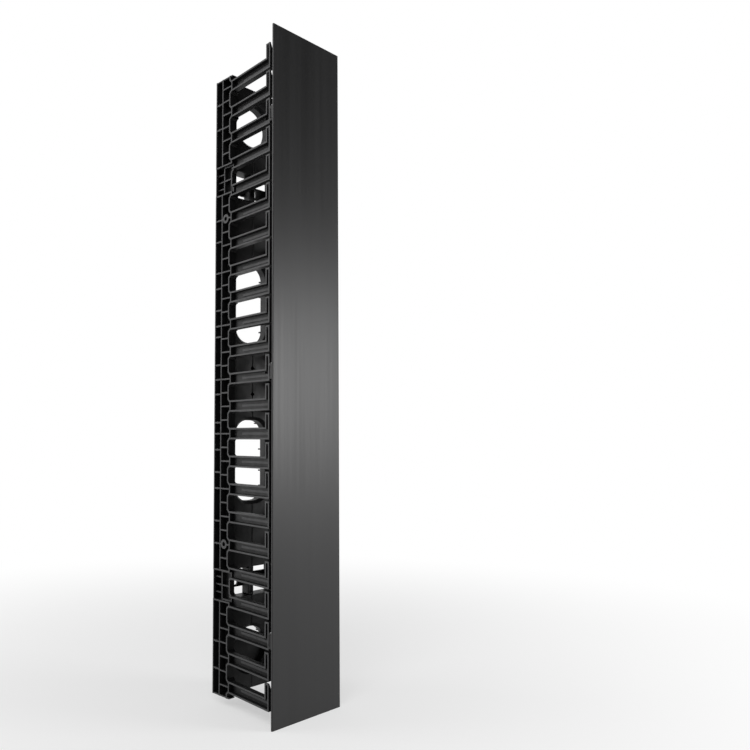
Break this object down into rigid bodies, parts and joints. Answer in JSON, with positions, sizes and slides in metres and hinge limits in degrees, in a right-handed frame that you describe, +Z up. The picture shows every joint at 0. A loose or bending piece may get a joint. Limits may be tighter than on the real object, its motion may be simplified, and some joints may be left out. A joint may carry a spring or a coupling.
{
  "type": "vertical cable manager",
  "caption": "Vertical rack cable manager: ribbed base with finger ducts on both sides, rear cable pass-throughs and a flat cover that swings open on vertical pins.",
  "frame": {"origin": "on the rear mounting plane, at the seam of the rear wall and level with the middle finger", "axes": "+Z up along the section, +Y back towards the rack, -Y front where the cover is, +X right seen from the front"},
  "size_m": [0.124, 0.134, 0.9144],
  "materials": {
    "base_plastic": "satin moulded",
    "finger_plastic": "satin moulded",
    "bracket_plastic": "satin moulded",
    "hinge_plastic": "satin moulded",
    "cover_plastic": "satin extruded",
    "zinc_steel": "zinc plated"
  },
  "bodies": {
    "base": {"left_base": "base_plastic", "right_base": "base_plastic", "left_fingers": "finger_plastic", "right_fingers": "finger_plastic", "upper_mount_bracket": "bracket_plastic", "lower_mount_bracket": "bracket_plastic", "upper_mount_screws": "zinc_steel", "lower_mount_screws": "zinc_steel", "seam_bolts": "zinc_steel", "seam_nuts": "zinc_steel", "right_top_hinge_bracket": "hinge_plastic", "right_top_hinge_pin": "zinc_steel", "right_middle_hinge_bracket": "hinge_plastic", "right_middle_hinge_pin": "zinc_steel", "right_bottom_hinge_bracket": "hinge_plastic", "right_bottom_hinge_pin": "zinc_steel", "right_hinge_screws": "zinc_steel", "left_top_hinge_bracket": "hinge_plastic", "left_top_hinge_pin": "zinc_steel", "left_middle_hinge_bracket": "hinge_plastic", "left_middle_hinge_pin": "zinc_steel", "left_bottom_hinge_bracket": "hinge_plastic", "left_bottom_hinge_pin": "zinc_steel", "left_hinge_screws": "zinc_steel"},
    "cover_panel": {"cover": "cover_plastic", "right_top_cover_clip": "hinge_plastic", "right_middle_cover_clip": "hinge_plastic", "right_bottom_cover_clip": "hinge_plastic", "left_top_cover_clip": "hinge_plastic", "left_middle_cover_clip": "hinge_plastic", "left_bottom_cover_clip": "hinge_plastic"}
  },
  "joints": [
    {"name": "cover_hinge", "type": "hinge", "parent": "base", "child": "cover_panel", "pos_m": [0.057, -0.1282, 0], "axis": [0, 0, 1], "range_deg": [0, 100]}
  ]
}
